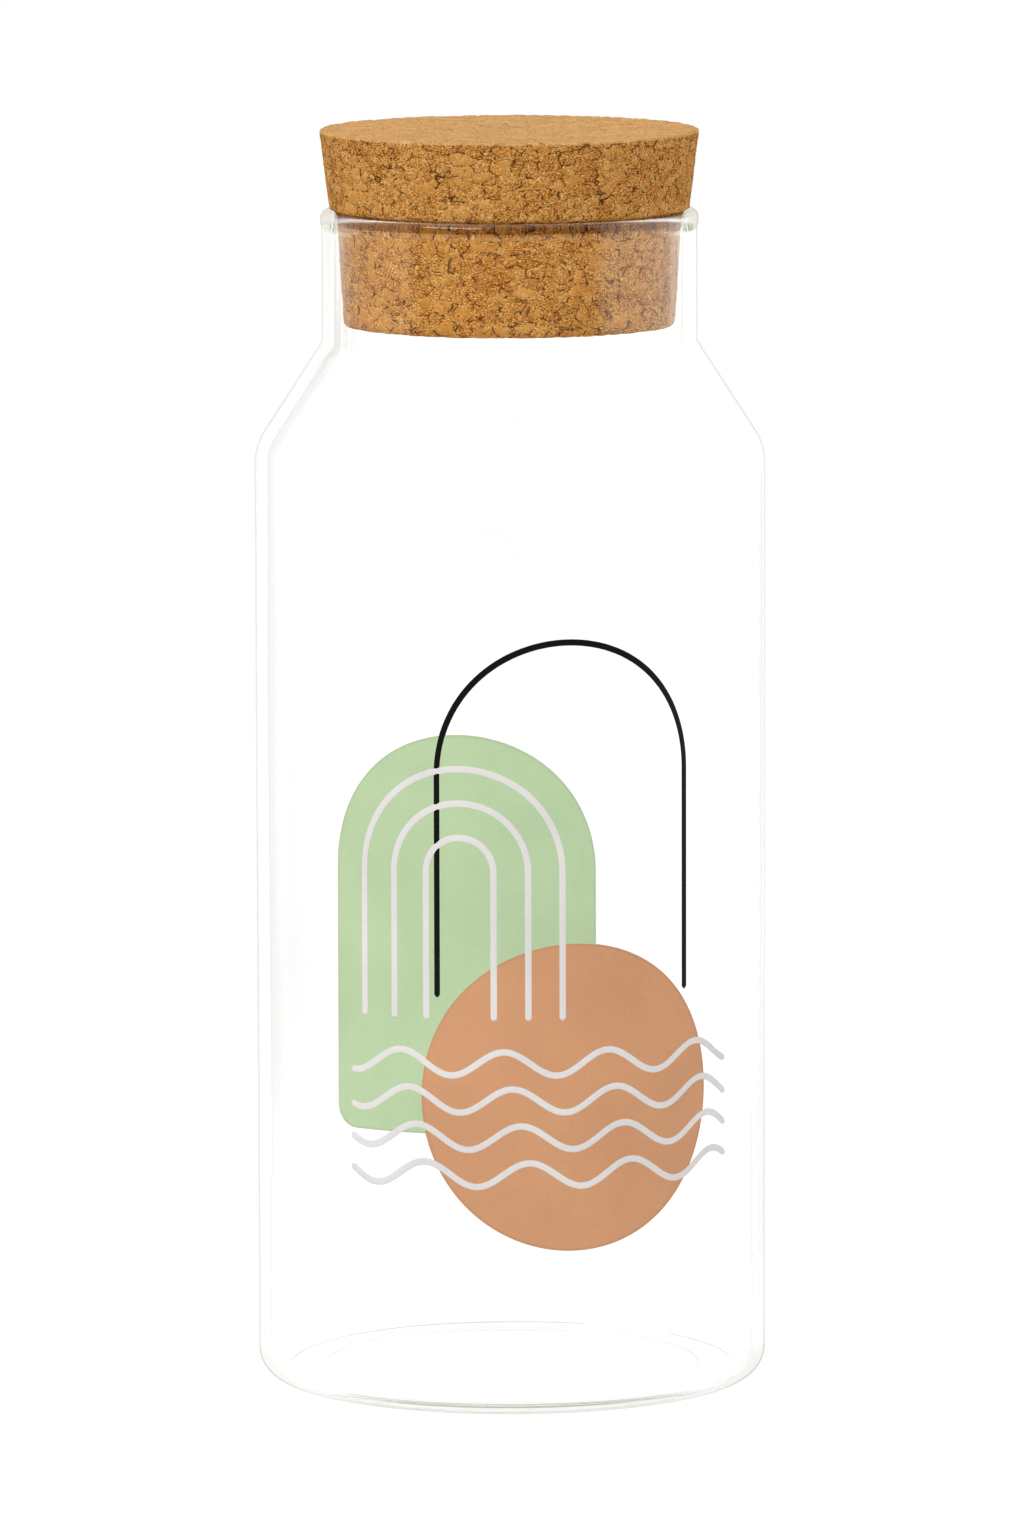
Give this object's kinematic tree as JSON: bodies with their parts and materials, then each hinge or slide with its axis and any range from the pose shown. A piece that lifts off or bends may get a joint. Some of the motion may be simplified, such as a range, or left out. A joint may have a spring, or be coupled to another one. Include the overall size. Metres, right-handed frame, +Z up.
{
  "type": "glass bottle",
  "caption": "Clear glass bottle with a straight body, a cone shoulder, a wide neck with a rounded lip and a tapered cork stopper that pulls out upwards.",
  "frame": {"origin": "on the bottle's axis, in the plane of the foot ring that it stands on", "axes": "+Z up along the bottle's axis, -Y towards the viewer of the picture, where the front of the print is"},
  "size_m": [0.09, 0.09, 0.2216],
  "materials": {
    "clear_glass": "polished",
    "pressed_cork": "matte",
    "enamel_green": "satin",
    "enamel_terracotta": "satin",
    "enamel_black": "satin",
    "enamel_white": "satin"
  },
  "bodies": {
    "bottle": {"glass_bottle": "clear_glass"},
    "stopper": {"cork_stopper": "pressed_cork"}
  },
  "joints": [
    {"name": "stopper_pull", "type": "slide", "parent": "bottle", "child": "stopper", "axis": [0, 0, 1], "range_m": [0, 0.05]}
  ]
}
